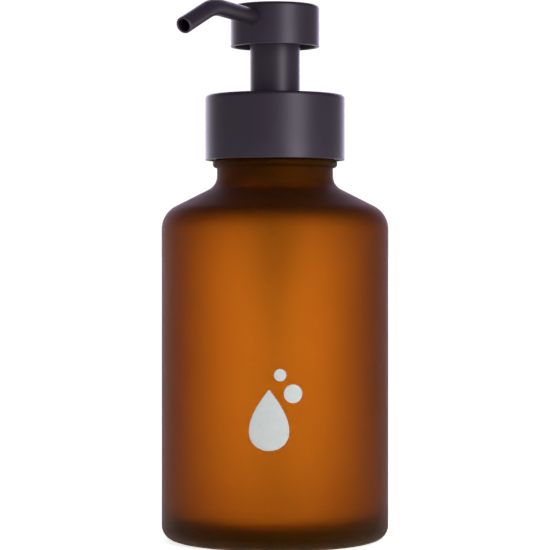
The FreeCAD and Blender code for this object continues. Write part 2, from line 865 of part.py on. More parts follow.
def make_core():
    """Moulded insert that fills the head shell, grips the sleeve and carries the foam channel."""
    gallery_top = spout_z + s.spout_radius + s.gallery_height
    ledge = s.chamber_radius - s.mesh_tube_wall
    body = turned(
        "actuator_core",
        [
            (core_bore, sleeve_foot),
            (s.core_tube_radius, sleeve_foot),
            (s.core_tube_radius, core_foot),
            (core_radius, core_foot),
            (core_radius, core_top),
            (0, core_top),
            (0, gallery_top),
            (ledge, gallery_top),
            (ledge, mesh_top_z + s.seat_gap),
            (core_bore, mesh_top_z + s.seat_gap),
        ],
    )
    rounded(body, s.head_round, (core_radius, core_top))
    away = s.head_radius + s.bore_overrun
    socket_radius = s.spout_radius + s.fit
    groove_radius = socket_radius + s.seal_wire * 2 + s.seat_gap
    groove_half = s.seal_wire + s.seat_gap
    bore_along_spout(body, "channel", s.spout_radius - s.spout_wall, Size.of(0), away)
    bore_along_spout(body, "socket", socket_radius, s.spout_inner_end - s.seat_gap, away)
    seal_side = s.seal_place - groove_half
    bore_along_spout(body, "groove", groove_radius, seal_side, s.seal_place + groove_half)
    return body


def bore_along_spout(body, name, radius, start, away):
    """Cuts a round hole along the spout's rising axis between two distances from Z."""
    sketch = new_sketch(body, name, "YZ_Plane")
    slope = tangent(s.spout_rise_angle)
    lean = radius * sine(s.spout_rise_angle)
    lift = radius * cosine(s.spout_rise_angle)
    draw_outline(
        sketch,
        [
            (-start, spout_z + start * slope),
            (-away, spout_z + away * slope),
            (-away + lean, spout_z + away * slope + lift),
            (-start + lean, spout_z + start * slope + lift),
        ],
    )
    groove = body.newObject("PartDesign::Groove", f"{body.Name}_{name}_cut")
    groove.Profile = sketch
    groove.ReferenceAxis = (sketch, ["Edge1"])
    groove.Angle = 360
    doc.recompute()


def make_sleeve():
    """Metal neck tube between the head and the closure; it slides through the closure."""
    inner = s.sleeve_radius - s.sleeve_wall
    top = core_foot - s.seat_gap
    body = turned(
        "neck_sleeve",
        [(inner, sleeve_foot), (s.sleeve_radius, sleeve_foot), (s.sleeve_radius, top), (inner, top)],
    )
    rounded(body, s.edge_round, (s.sleeve_radius, sleeve_foot))
    return body


def make_head_shell():
    """Spun metal cup with a hole in its side for the spout."""
    inner = s.head_radius - s.head_wall
    body = turned(
        "head_shell",
        [
            (0, core_top),
            (inner, core_top),
            (inner, head_foot),
            (s.head_radius, head_foot),
            (s.head_radius, head_top),
            (0, head_top),
        ],
    )
    rounded(body, s.head_round - s.seat_gap, (inner, core_top))
    rounded(body, s.head_round, (s.head_radius, head_top))
    rounded(body, s.edge_round, (s.head_radius, head_foot), (inner, head_foot))
    away = s.head_radius + s.bore_overrun
    bore_along_spout(body, "spout_hole", s.spout_radius + s.fit, s.spout_inner_end, away)
    return body


def spout_path(sketch):
    """Rising line, bend and falling line in the YZ plane, joined tangentially."""
    rise, fall = math.radians(SIZES["spout_rise_angle"]), math.radians(SIZES["spout_fall_angle"])
    bend = SIZES["spout_bend_radius"]
    corner_y = -SIZES["spout_corner"]
    start_y, end_y = -SIZES["spout_inner_end"], -SIZES["spout_reach"]
    corner = FreeCAD.Vector(corner_y, spout_z.value - corner_y * math.tan(rise), 0)
    reach = bend * math.tan((rise + fall) / 2)
    out = FreeCAD.Vector(-math.cos(rise), math.sin(rise), 0)
    down = FreeCAD.Vector(-math.cos(fall), -math.sin(fall), 0)
    start = FreeCAD.Vector(start_y, spout_z.value - start_y * math.tan(rise), 0)
    bend_in, bend_out = corner - out * reach, corner + down * reach
    centre = bend_in + FreeCAD.Vector(-math.sin(rise), -math.cos(rise), 0) * bend
    end = corner + down * ((end_y - corner_y) / down.x)
    first = math.atan2(bend_in.y - centre.y, bend_in.x - centre.x)
    last = math.atan2(bend_out.y - centre.y, bend_out.x - centre.x)
    circle = Part.Circle(centre, FreeCAD.Vector(0, 0, 1), bend)
    sketch.addGeometry(Part.LineSegment(start, bend_in), False)
    sketch.addGeometry(Part.ArcOfCircle(circle, first, last), False)
    sketch.addGeometry(Part.LineSegment(bend_out, end), False)
    sketch.addConstraint(Sketcher.Constraint("Tangent", 0, 2, 1, 1))
    sketch.addConstraint(Sketcher.Constraint("Tangent", 1, 2, 2, 1))
    slope = tangent(s.spout_rise_angle)
    fix_point(sketch, 0, 1, "start", -s.spout_inner_end, spout_z + s.spout_inner_end * slope)
    index = sketch.addConstraint(Sketcher.Constraint("Radius", 1, bend))
    sketch.renameConstraint(index, "bend")
    sketch.setExpression("Constraints.bend", "Sizes.spout_bend_radius")
    index = sketch.addConstraint(Sketcher.Constraint("Angle", 0, math.pi - rise))
    sketch.renameConstraint(index, "rise")
    sketch.setExpression("Constraints.rise", "180 deg - Sizes.spout_rise_angle * 1 deg")
    index = sketch.addConstraint(Sketcher.Constraint("Angle", 2, math.pi + fall))
    sketch.renameConstraint(index, "fall")
    sketch.setExpression("Constraints.fall", "180 deg + Sizes.spout_fall_angle * 1 deg")
    index = sketch.addConstraint(Sketcher.Constraint("DistanceX", -1, 1, 2, 2, end.x))
    sketch.renameConstraint(index, "reach")
    sketch.setExpression("Constraints.reach", "-Sizes.spout_reach")
    half_turn = (s.spout_rise_angle + s.spout_fall_angle) / 2
    bend_y = -s.spout_corner + s.spout_bend_radius * tangent(half_turn) * Size(
        math.cos(rise), "cos(Sizes.spout_rise_angle * 1 deg)"
    )
    index = sketch.addConstraint(Sketcher.Constraint("DistanceX", -1, 1, 0, 2, bend_y.value))
    sketch.renameConstraint(index, "bend_place")
    sketch.setExpression("Constraints.bend_place", bend_y.text)


def make_spout():
    """Bent metal tube swept along its path, then bored along the same path."""
    body = new_body("spout_tube")
    path = new_sketch(body, "path", "YZ_Plane")
    spout_path(path)
    doc.recompute()
    for name, kind, radius in (
        ("outside", "PartDesign::AdditivePipe", s.spout_radius),
        ("inside", "PartDesign::SubtractivePipe", s.spout_radius - s.spout_wall),
    ):
        section = body.newObject("Sketcher::SketchObject", f"spout_{name}")
        section.AttachmentSupport = [(path, "Edge1"), (path, "Vertex1")]
        section.MapMode = "NormalToEdge"
        section.addGeometry(Part.Circle(FreeCAD.Vector(), FreeCAD.Vector(0, 0, 1), radius.value), False)
        section.addConstraint(Sketcher.Constraint("Coincident", 0, 3, -1, 1))
        index = section.addConstraint(Sketcher.Constraint("Radius", 0, radius.value))
        section.renameConstraint(index, "ring")
        section.setExpression("Constraints.ring", radius.text)
        pipe = body.newObject(kind, f"spout_{name}_pipe")
        pipe.Profile = section
        pipe.Spine = (path, ["Edge1", "Edge2", "Edge3"])
        doc.recompute()
    return body


def make_spout_seal():
    """O-ring in the insert's groove, square to the spout's rising line."""
    ring = doc.addObject("Part::Torus", "spout_seal")
    ring.Label = "spout_seal"
    middle = s.spout_radius + s.fit + s.seal_wire
    for prop, size in (("Radius1", middle), ("Radius2", s.seal_wire)):
        setattr(ring, prop, size.value)
        ring.setExpression(prop, size.text)
    height = spout_z + s.seal_place * tangent(s.spout_rise_angle)
    tilt = 90.0 - SIZES["spout_rise_angle"]
    ring.Placement = FreeCAD.Placement(
        FreeCAD.Vector(0, -SIZES["seal_place"], height.value),
        FreeCAD.Rotation(FreeCAD.Vector(1, 0, 0), tilt),
    )
    ring.setExpression("Placement.Base.y", "-Sizes.seal_place")
    ring.setExpression("Placement.Base.z", height.text)
    ring.setExpression("Placement.Rotation.Angle", "90 deg - Sizes.spout_rise_angle * 1 deg")
    return ring


bottle, bottle_thread_middle = make_bottle()
pieces = [
    bottle,
    make_collar_shell(),
    make_screw_cap(bottle_thread_middle),
    make_gasket(),
    make_cylinder(),
    make_dip_tube(),
    make_ball("inlet_ball", s.inlet_ball_radius, inlet_ball_z),
    make_ball_cage(),
    make_spring(),
    make_liquid_piston(),
    make_stem(),
    make_ball("outlet_ball", s.outlet_ball_radius, outlet_ball_z),
    make_air_piston(),
    make_air_valve(),
    make_foam_chamber(),
    make_mesh_holder(),
    make_mesh("coarse_mesh", mesh_foot_z),
    make_mesh("fine_mesh", mesh_top_z - s.mesh_thickness),
    make_core(),
    make_sleeve(),
    make_head_shell(),
    make_spout(),
    make_spout_seal(),
]
doc.recompute()

for thing in doc.Objects:
    if "Invalid" in thing.State or "Error" in thing.State:
        raise RuntimeError(f"{thing.Label} failed: {thing.State}")
os.makedirs("parts", exist_ok=True)
for piece in pieces:
    shape = piece.Shape
    if shape.isNull() or not shape.isValid() or not shape.Solids:
        raise RuntimeError(f"{piece.Label} has no valid solid")
    shape.exportStep(f"parts/{piece.Label}.step")
    print(f"{piece.Label}: {len(shape.Solids)} solid, {shape.Volume:.1f} mm3")
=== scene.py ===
"""Looks of a foaming soap dispenser: frosted amber bottle, matt black screw-on foam pump.

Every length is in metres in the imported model's frame: +Z up the axis of the bottle and the pump,
the spout pointing along -Y, the origin at the centre of the foot.
"""

import json
import logging
import math
from collections.abc import Callable, Sequence
from dataclasses import dataclass, field
from enum import Enum
from typing import Any

import bpy
import numpy as np
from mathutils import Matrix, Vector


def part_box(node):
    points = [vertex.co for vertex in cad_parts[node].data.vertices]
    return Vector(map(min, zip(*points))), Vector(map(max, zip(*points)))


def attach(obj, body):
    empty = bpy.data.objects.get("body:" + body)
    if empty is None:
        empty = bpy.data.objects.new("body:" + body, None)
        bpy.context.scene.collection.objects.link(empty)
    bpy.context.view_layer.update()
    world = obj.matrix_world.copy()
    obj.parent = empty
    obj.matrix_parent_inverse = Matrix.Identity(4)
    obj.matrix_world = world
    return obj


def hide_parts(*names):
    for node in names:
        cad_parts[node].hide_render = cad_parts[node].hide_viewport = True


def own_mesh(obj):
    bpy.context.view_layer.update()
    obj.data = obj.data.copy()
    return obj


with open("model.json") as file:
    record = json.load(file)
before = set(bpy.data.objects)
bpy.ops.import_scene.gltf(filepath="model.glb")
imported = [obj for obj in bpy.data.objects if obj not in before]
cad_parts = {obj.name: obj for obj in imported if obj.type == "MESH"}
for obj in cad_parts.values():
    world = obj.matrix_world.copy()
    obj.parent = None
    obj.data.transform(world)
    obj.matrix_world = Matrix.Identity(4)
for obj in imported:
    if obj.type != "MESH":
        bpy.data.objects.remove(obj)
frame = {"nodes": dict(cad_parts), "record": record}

LOG = logging.getLogger("dispenser")
MM = 0.001
TAU = 2.0 * math.pi
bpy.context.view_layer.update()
FRONT = 31.5  # degrees from -Y to the side that carries the mark and that the camera faces


# ------------------------------------------------------------------------------ surface building
def rounded_outline(corners: Sequence[tuple[float, float, float]], closed: bool, steps: int = 7,
                    support: float = 0.12) -> np.ndarray:
    """Turns corner points into a profile with true arcs.

    Each corner is cut back along both of its sides by round * tan(turn / 2), and the gap is filled by
    the arc that touches both sides there. Long sides get one more point close to each of their ends,
    so that smooth shading stays flat along them.

    Args:
        corners: (radius, height, round) of each corner, in millimetres.
        closed: Whether the last corner joins the first.
        steps: Number of chords in each arc.
        support: Distance of the extra points from the ends of a side, in millimetres.

    Returns:
        The profile's (radius, height) points in metres, one row each.
    """
    points = np.array([c[:2] for c in corners], float)
    count = len(points)
    rows: list[np.ndarray] = []
    for i, (_, _, radius) in enumerate(corners):
        here = points[i]
        if not closed and i in (0, count - 1) or radius <= 0.0:
            rows.append(here[None, :])
            continue
        back, ahead = points[i - 1] - here, points[(i + 1) % count] - here
        back, ahead = back / np.linalg.norm(back), ahead / np.linalg.norm(ahead)
        turn = math.pi - math.acos(float(np.clip(back @ ahead, -1.0, 1.0)))
        reach = radius * math.tan(turn / 2)
        start, end = here + back * reach, here + ahead * reach
        centre = here + (back + ahead) / np.linalg.norm(back + ahead) * radius / math.cos(turn / 2)
        first, last = start - centre, end - centre
        share = np.linspace(0.0, 1.0, steps + 1)[:, None]
        weight = np.sin([(1 - share) * turn, share * turn]) / math.sin(turn)
        rows.append(centre + weight[0] * first + weight[1] * last)
    profile = np.concatenate(rows)
    ahead = np.roll(profile, -1, axis=0) - profile
    length = np.linalg.norm(ahead, axis=1)
    long = length > 6 * support
    if not closed:
        long[-1] = False
    unit = ahead / np.maximum(length, 1e-9)[:, None]
    pieces = [profile[:, None, :]]
    near = np.where(long[:, None], profile + unit * support, np.nan)
    far = np.where(long[:, None], profile + unit * (length[:, None] - support), np.nan)
    pieces += [near[:, None, :], far[:, None, :]]
    dense = np.concatenate(pieces, axis=1).reshape(-1, 2)
    return dense[~np.isnan(dense[:, 0])] * MM


def divided(profile: np.ndarray, limit: np.ndarray) -> np.ndarray:
    """Splits the sides of a profile that are longer than a limit into equal shares.

    Args:
        profile: (radius, height) rows in metres.
        limit: Longest length allowed for each side, in metres.

    Returns:
        The profile with the new points added in order.
    """
    ahead = np.diff(profile, axis=0)
    shares = np.maximum(1, np.ceil(np.linalg.norm(ahead, axis=1) / limit)).astype(int)
    index = np.repeat(np.arange(len(shares)), shares)
    step = np.arange(len(index)) - np.repeat(np.cumsum(shares) - shares, shares)
    rows = profile[index] + ahead[index] * (step / shares[index])[:, None]
    return np.concatenate([rows, profile[-1:]])


def grid_faces(rows: int, columns: int, wrap_rows: bool, wrap_columns: bool) -> np.ndarray:
    """Quads of a grid whose point (i, j) has the number i * columns + j.

    Args:
        rows: Number of rows.
        columns: Number of columns.
        wrap_rows: Whether the last row joins the first.
        wrap_columns: Whether the last column joins the first.

    Returns:
        One row of four vertex numbers for each quad.
    """
    i = np.arange(rows if wrap_rows else rows - 1)
    j = np.arange(columns if wrap_columns else columns - 1)
    i, j = (a.ravel() for a in np.meshgrid(i, j, indexing="ij"))
    up, right = (i + 1) % rows, (j + 1) % columns
    return np.stack([i * columns + j, i * columns + right, up * columns + right, up * columns + j], 1)


def pole_fans(rows: int, columns: int) -> list[np.ndarray]:
    """Triangles that join a grid's first and last rows to the two points numbered after the grid.

    Args:
        rows: Number of rows in the grid.
        columns: Number of columns, which wrap.

    Returns:
        The first row's triangles and the last row's, three vertex numbers each.
    """
    ring = np.arange(columns)
    after = (ring + 1) % columns
    last = (rows - 1) * columns
    pole = np.full_like(ring, rows * columns)
    return [np.stack([after, ring, pole], 1), np.stack([last + ring, last + after, pole + 1], 1)]


def new_piece(name: str, points: np.ndarray, quads: np.ndarray, fans: Sequence[np.ndarray] = (),
              marks: dict[str, np.ndarray] | None = None) -> bpy.types.Object:
    """Puts a worked-out surface into a smooth-shaded mesh object at the origin.

    Args:
        name: The piece's name.
        points: Vertex positions in metres, one row each.
        quads: Four vertex numbers for each quad.
        fans: Arrays of triangles that close the poles.
        marks: Values for each vertex, stored as float attributes that materials read.

    Returns:
        The new object.
    """
    mesh = bpy.data.meshes.new(name)
    faces = quads.tolist() + [triangle for fan in fans for triangle in fan.tolist()]
    mesh.from_pydata(points.reshape(-1, 3).tolist(), [], faces)
    for key, values in (marks or {}).items():
        layer = mesh.attributes.new(key, "FLOAT", "POINT")
        layer.data.foreach_set("value", values.astype(np.float32).ravel())
    mesh.polygons.foreach_set("use_smooth", np.ones(len(mesh.polygons), bool))
    mesh.validate()
    mesh.update()
    piece = bpy.data.objects.new(name, mesh)
    bpy.context.scene.collection.objects.link(piece)
    return piece


@dataclass
class Lathe:
    """A surface of revolution about Z: point (i, j) is (r_i cos t_j, r_i sin t_j, z_i).

    Attributes:
        name: The piece's name.
        profile: (radius, height) rows in metres, anticlockwise round the solid's section when seen
            with the radius to the right and the height up.
        columns: Number of equal steps round the axis.
        closed: Whether the profile is a loop. An open profile starts and ends on the axis.
        shift: Optional offsets (radius, height) added to each point, given the grids of radius,
            height and angle.
        mark: Optional attribute values, given the same grids.
    """

    name: str
    profile: np.ndarray
    columns: int = 192
    closed: bool = True
    shift: Callable[[np.ndarray, np.ndarray, np.ndarray], tuple[np.ndarray, np.ndarray]] | None = None
    mark: dict[str, Callable[[np.ndarray, np.ndarray, np.ndarray], np.ndarray]] = field(
        default_factory=dict)

    def build(self) -> bpy.types.Object:
        """Works the surface out and makes the piece.

        Returns:
            The new object.
        """
        rows = self.profile if self.closed else self.profile[1:-1]
        angle = np.linspace(0.0, TAU, self.columns, endpoint=False)
        radius, turn = np.meshgrid(rows[:, 0], angle, indexing="ij")
        height = np.broadcast_to(rows[:, 1:2], radius.shape)
        marks = {key: value(radius, height, turn).ravel() for key, value in self.mark.items()}
        if self.shift:
            out, up = self.shift(radius, height, turn)
            radius, height = radius + out, height + up
        points = np.stack([radius * np.cos(turn), radius * np.sin(turn), height], -1).reshape(-1, 3)
        quads = grid_faces(len(rows), self.columns, self.closed, True)
        if self.closed:
            return new_piece(self.name, points, quads, marks=marks)
        poles = np.array([[0.0, 0.0, self.profile[0, 1]], [0.0, 0.0, self.profile[-1, 1]]])
        fans = pole_fans(len(rows), self.columns)
        marks = {key: np.append(value, [value[0], value[-1]]) for key, value in marks.items()}
        return new_piece(self.name, np.concatenate([points, poles]), quads, fans, marks)


def swept(name: str, centre: np.ndarray, side: np.ndarray, upward: np.ndarray, radius: np.ndarray,
          columns: int = 48, wrap: bool = True) -> bpy.types.Object:
    """A round section carried along a path: point (i, j) is c_i + r_i (cos t_j a_i + sin t_j b_i).

    Args:
        name: The piece's name.
        centre: The path's points c_i.
        side: First direction a_i across the path, of unit length.
        upward: Second direction b_i across the path, of unit length.
        radius: The section's radius r_i at each point.
        columns: Number of equal steps round the section.
        wrap: Whether the last section joins the first, as in a tube with a wall.

    Returns:
        The new object.
    """
    angle = np.linspace(0.0, TAU, columns, endpoint=False)
    across = (np.cos(angle)[None, :, None] * side[:, None, :]
              + np.sin(angle)[None, :, None] * upward[:, None, :])
    points = (centre[:, None, :] + radius[:, None, None] * across).reshape(-1, 3)
    quads = grid_faces(len(centre), columns, wrap, True)
    if wrap:
        return new_piece(name, points, quads)
    fans = pole_fans(len(centre), columns)
    return new_piece(name, np.concatenate([points, centre[[0, -1]]]), quads, fans)


# ------------------------------------------------------------------------------ shader building
class Wire:
    """A shader value that Python arithmetic turns into Math nodes."""

    def __init__(self, shader: "Graph", socket: bpy.types.NodeSocket) -> None:
        """Keeps the socket and the shader that owns it."""
        self.shader = shader
        self.socket = socket

    def _math(self, operation: str, *values: Any) -> "Wire":
        """One Math node of the given operation on the given values."""
        return self.shader.node("ShaderNodeMath", {"operation": operation}, dict(enumerate(values)))

    def __add__(self, other: Any) -> "Wire":
        """self + other."""
        return self._math("ADD", self, other)

    def __radd__(self, other: Any) -> "Wire":
        """other + self."""
        return self._math("ADD", other, self)

    def __sub__(self, other: Any) -> "Wire":
        """self - other."""
        return self._math("SUBTRACT", self, other)

    def __rsub__(self, other: Any) -> "Wire":
        """other - self."""
        return self._math("SUBTRACT", other, self)

    def __mul__(self, other: Any) -> "Wire":
        """self * other."""
        return self._math("MULTIPLY", self, other)

    def __rmul__(self, other: Any) -> "Wire":
        """other * self."""
        return self._math("MULTIPLY", other, self)

    def __abs__(self) -> "Wire":
        """The size of self without its sign."""
        return self._math("ABSOLUTE", self)

    def ramp(self, low: float, high: float) -> "Wire":
        """Smoothly 0 below low and 1 above high, or the other way round when low is the larger."""
        settings = {"interpolation_type": "SMOOTHSTEP"}
        return self.shader.node("ShaderNodeMapRange", settings, {"Value": self, 1: low, 2: high})

    def sine(self) -> "Wire":
        """The sine of self."""
        return self._math("SINE", self)


class Graph:
    """A node tree under construction."""

    def __init__(self, tree: bpy.types.NodeTree) -> None:
        """Keeps the tree."""
        self.tree = tree

    def link(self, wire: Wire, socket: bpy.types.NodeSocket) -> None:
        """Joins a wire to an input socket."""
        self.tree.links.new(wire.socket, socket)

    def node(self, kind: str, settings: dict[str, Any] | None = None,
             inputs: dict[Any, Any] | None = None, output: int | str = 0) -> Wire:
        """Adds one node.

        Args:
            kind: The node's type name.
            settings: Its properties, which are set before its sockets.
            inputs: Values or wires for its input sockets, by name or number.
            output: The output socket to hand back.

        Returns:
            The chosen output.
        """
        made = self.tree.nodes.new(kind)
        for key, value in (settings or {}).items():
            setattr(made, key, value)
        for key, value in (inputs or {}).items():
            socket = made.inputs[key]
            if isinstance(value, Wire):
                self.link(value, socket)
            else:
                socket.default_value = value
        return Wire(self, made.outputs[output])

    def blend(self, factor: Wire, low: tuple[float, ...], high: tuple[float, ...]) -> Wire:
        """A colour between low and high."""
        inputs = {0: factor, 6: (*low, 1.0), 7: (*high, 1.0)}
        return self.node("ShaderNodeMix", {"data_type": "RGBA"}, inputs, output=2)


class Shader(Graph):
    """A material under construction, ending in one Principled surface."""

    def __init__(self, name: str) -> None:
        """Starts an empty material.

        Args:
            name: The material's name.
        """
        self.material = bpy.data.materials.new(name)
        self.material.use_nodes = True
        super().__init__(self.material.node_tree)
        self.tree.nodes.clear()

    def place(self) -> Wire:
        """The point's position on the piece, in metres."""
        return self.node("ShaderNodeTexCoord", output="Object")

    def parts(self, vector: Wire) -> tuple[Wire, Wire, Wire]:
        """The three parts of a vector."""
        split = self.node("ShaderNodeSeparateXYZ", inputs={0: vector})
        node = split.socket.node
        return tuple(Wire(self, node.outputs[i]) for i in range(3))

    def stretched(self, scale: tuple[float, float, float]) -> Wire:
        """The point's position scaled along each axis, for patterns that run in one direction."""
        return self.node("ShaderNodeVectorMath", {"operation": "MULTIPLY"}, {0: self.place(), 1: scale})

    def noise(self, scale: float, detail: float = 3.0, vector: Wire | None = None) -> Wire:
        """Soft noise from 0 to 1 with about scale blobs in each metre."""
        inputs = {"Vector": vector or self.place(), "Scale": scale, "Detail": detail}
        return self.node("ShaderNodeTexNoise", {"noise_dimensions": "3D"}, inputs)

    def bump(self, height: Wire, strength: float, distance: float) -> Wire:
        """Normal of a surface raised by height times distance, in metres."""
        return self.node("ShaderNodeBump", None,
                         {"Height": height, "Strength": strength, "Distance": distance})

    def finish(self, inputs: dict[str, Any], volume: Wire | None = None) -> bpy.types.Material:
        """Closes the material.

        Args:
            inputs: Values or wires for the Principled shader's sockets.
            volume: Optional volume shader.

        Returns:
            The material.
        """
        surface = self.node("ShaderNodeBsdfPrincipled", None, inputs)
        closing = {"Surface": surface}
        if volume:
            closing["Volume"] = volume
        out = self.tree.nodes.new("ShaderNodeOutputMaterial")
        for key, wire in closing.items():
            self.tree.links.new(wire.socket, out.inputs[key])
        return self.material


# ------------------------------------------------------------------------------ finishes
@dataclass(frozen=True)
class FrostedGlass:
    """Amber glass, acid-frosted where the piece's attribute "frost" is 1 and polished where it is 0."""

    tint: tuple[float, float, float] = (0.802, 0.565, 0.0)
    density: float = 1030.0
    thin: tuple[float, float, float] = (1.0, 0.985, 0.96)
    # darker purple base colour, painted shade at the neck, the shoulder and the base
    painted_shade: tuple[float, float, float] = (0.40, 0.34, 0.55)
    frosted: float = 0.75
    polished: float = 0.06
    unevenness: float = 0.07
    specular: float = 0.05
    specular_tint: tuple[float, float, float, float] = (1.0, 0.38, 0.02, 1.0)
    grain_height: float = 0.00004

    def material(self) -> bpy.types.Material:
        """Clear surface with a fine frosted grain over glass that absorbs blue and green.

        Where the piece's shade mask is 1, at the neck, the shoulder and the base, the base colour turns
        darker and purple: painted shade for the shade under the collar and in the heavy foot.
        """
        s = Shader("frosted_amber_glass")
        # mask of the painted shade at the neck, the shoulder and the base
        painted_shade = s.node("ShaderNodeAttribute", {"attribute_name": "painted_shade"}, output="Fac")
        frost = s.node("ShaderNodeAttribute", {"attribute_name": "frost"}, output="Fac")
        cloud = s.noise(55.0, 2.0)
        roughness = self.polished + frost * (self.frosted - self.polished + (cloud - 0.5) * self.unevenness)
        grain = s.noise(5200.0, 2.0) * frost
        volume = s.node("ShaderNodeVolumeAbsorption", None,
                        {"Color": (*self.tint, 1.0), "Density": self.density})
        return s.finish({
            "Base Color": s.blend(painted_shade, self.thin, self.painted_shade), "Roughness": roughness, "IOR": 1.5,
            "Transmission Weight": 1.0, "Specular IOR Level": self.specular,
            "Specular Tint": self.specular_tint, "Normal": s.bump(grain, 0.25, self.grain_height),
        }, volume)


@dataclass(frozen=True)
class MattCoating:
    """Fine matt black coating on spun metal, a little polished by hands along its edges."""

    dark: tuple[float, float, float] = (0.013, 0.0075, 0.0145)
    worn: tuple[float, float, float] = (0.036, 0.028, 0.040)
    roughness: float = 0.43

    def material(self) -> bpy.types.Material:
        """Speckled dark coating whose rubbed edges are lighter and smoother."""
        s = Shader("matt_black_coating")
        rub = s.node("ShaderNodeAttribute", {"attribute_name": "rub"}, output="Fac")
        cloud = s.noise(90.0, 4.0)
        speck = s.noise(3600.0, 2.0)
        wear = (rub * (cloud * 1.3)).ramp(0.15, 0.9)
        colour = s.blend(wear * 0.6 + (speck - 0.5) * 0.35 + (cloud - 0.5) * 0.2, self.dark, self.worn)
        spun = s.noise(1.0, 2.0, s.stretched((60.0, 60.0, 2600.0)))
        return s.finish({
            "Base Color": colour,
            "Roughness": self.roughness - wear * 0.08 + (speck - 0.5) * 0.08 + (cloud - 0.5) * 0.06,
            "Specular IOR Level": 0.5, "Specular Tint": (0.94, 0.86, 1.0, 1.0),
            "Normal": s.bump(speck * 0.8 + spun * 0.2, 0.3, 0.00003),
        })


@dataclass(frozen=True)
class Moulded:
    """Injection-moulded plastic or rubber with a fine eroded texture."""

    name: str
    colour: tuple[float, float, float]
    shade: tuple[float, float, float]
    roughness: float
    grain: float = 2600.0
    scatter: float = 0.0
    clear: float = 0.0

    def material(self) -> bpy.types.Material:
        """Slightly uneven colour and a fine grain; scatter lets light through the wall."""
        s = Shader(self.name)
        cloud = s.noise(140.0, 3.0)
        grain = s.noise(self.grain, 2.0)
        flow = s.noise(1.0, 3.0, s.stretched((300.0, 300.0, 70.0)))
        return s.finish({
            "Base Color": s.blend(cloud * 0.7 + flow * 0.3, self.shade, self.colour),
            "Roughness": self.roughness + (grain - 0.5) * 0.12 + (flow - 0.5) * 0.08,
            "Subsurface Weight": self.scatter, "Subsurface Radius": (0.002, 0.002, 0.002),
            "Transmission Weight": self.clear,
            "Normal": s.bump(grain * 0.7 + flow * 0.3, 0.25, 0.00004),
        })


@dataclass(frozen=True)
class BrightSteel:
    """Drawn stainless steel with faint lines along Z."""

    colour: tuple[float, float, float] = (0.62, 0.61, 0.60)

    def material(self) -> bpy.types.Material:
        """Metal whose roughness follows fine drawing lines."""
        s = Shader("bright_steel")
        lines = s.noise(1.0, 3.0, s.stretched((3000.0, 3000.0, 120.0)))
        cloud = s.noise(260.0, 2.0)
        return s.finish({
            "Base Color": s.blend(cloud, tuple(0.85 * c for c in self.colour), self.colour),
            "Metallic": 1.0, "Roughness": 0.2 + lines * 0.16,
            "Normal": s.bump(lines, 0.2, 0.00002),
        })


@dataclass(frozen=True)
class WovenNylon:
    """Plain-weave foaming mesh; the holes between its threads are clear."""

    pitch: float = 0.00022

    def material(self) -> bpy.types.Material:
        """Threads along X and Y, each a rounded ridge, with open squares between them."""
        s = Shader("woven_nylon")
        x, y, _ = s.parts(s.place())
        turn = TAU / self.pitch
        warp, weft = (x * turn).sine(), (y * turn).sine()
        thread = (warp * 0.5 + weft * 0.5 + abs(warp - weft) * 0.5)
        return s.finish({
            "Base Color": s.blend(thread, (0.55, 0.55, 0.52), (0.86, 0.86, 0.83)), "Roughness": 0.5,
            "Alpha": thread.ramp(-0.1, 0.25), "Normal": s.bump(thread, 0.6, 0.00006),
        })


@dataclass(frozen=True)
class ScreenInk:
    """Opaque pale grey ink, screen-printed and cured on the frosted glass."""

    colour: tuple[float, float, float] = (0.55, 0.58, 0.57)
    thin: tuple[float, float, float] = (0.46, 0.48, 0.46)

    def material(self) -> bpy.types.Material:
        """Chalky ink with pin-sized unevenness from the frosted ground under it."""
        s = Shader("pale_screen_ink")
        cloud = s.noise(420.0, 4.0)
        grain = s.noise(5200.0, 2.0)
        return s.finish({
            "Base Color": s.blend(cloud * 0.8 + grain * 0.2, self.thin, self.colour),
            "Roughness": 0.52 + (grain - 0.5) * 0.15,
            "Normal": s.bump(grain, 0.3, 0.00003),
        })


class Finish(Enum):
    """The object's finishes, by the record's material slot."""

    AMBER_GLASS = FrostedGlass()
    BLACK_METAL = MattCoating()
    BLACK_PLASTIC = Moulded("black_moulding", (0.026, 0.025, 0.028), (0.018, 0.017, 0.02), 0.5)
    NATURAL_PLASTIC = Moulded("cloudy_moulding", (0.80, 0.81, 0.80), (0.72, 0.73, 0.71), 0.34,
                              grain=1800.0, scatter=0.25, clear=0.25)
    SOFT_SEAL = Moulded("soft_seal", (0.70, 0.70, 0.67), (0.60, 0.60, 0.57), 0.62,
                        grain=2200.0, scatter=0.15)
    STEEL = BrightSteel()
    NYLON_MESH = WovenNylon()
    INK = ScreenInk()


class Palette:
    """Makes each finish's material once."""

    def __init__(self) -> None:
        """Starts with no material made."""
        self._made: dict[Finish, bpy.types.Material] = {}

    def dress(self, piece: bpy.types.Object, finish: Finish) -> None:
        """Gives a piece one finish all over.

        Args:
            piece: The piece.
            finish: Its finish.
        """
        if finish not in self._made:
            self._made[finish] = finish.value.material()
        piece.data.materials.clear()
        piece.data.materials.append(self._made[finish])


def settle(piece: bpy.types.Object, body: str, slot: str, *stands_for: str) -> None:
    """Puts a new piece on its body and hides the solids it stands for.

    Args:
        piece: The new piece.
        body: Name of the body it moves with.
        slot: The record's material slot; not used.
        stands_for: Names of the solids it replaces.
    """
    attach(piece, body)
    if stands_for:
        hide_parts(*stands_for)
    LOG.info("%s: %d faces on %s", piece.name, len(piece.data.polygons), body)


def spread(node: str) -> tuple[float, float, float]:
    """A round node's outer radius, foot and top, in millimetres."""
    low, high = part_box(node)
    return high.x / MM, low.z / MM, high.z / MM


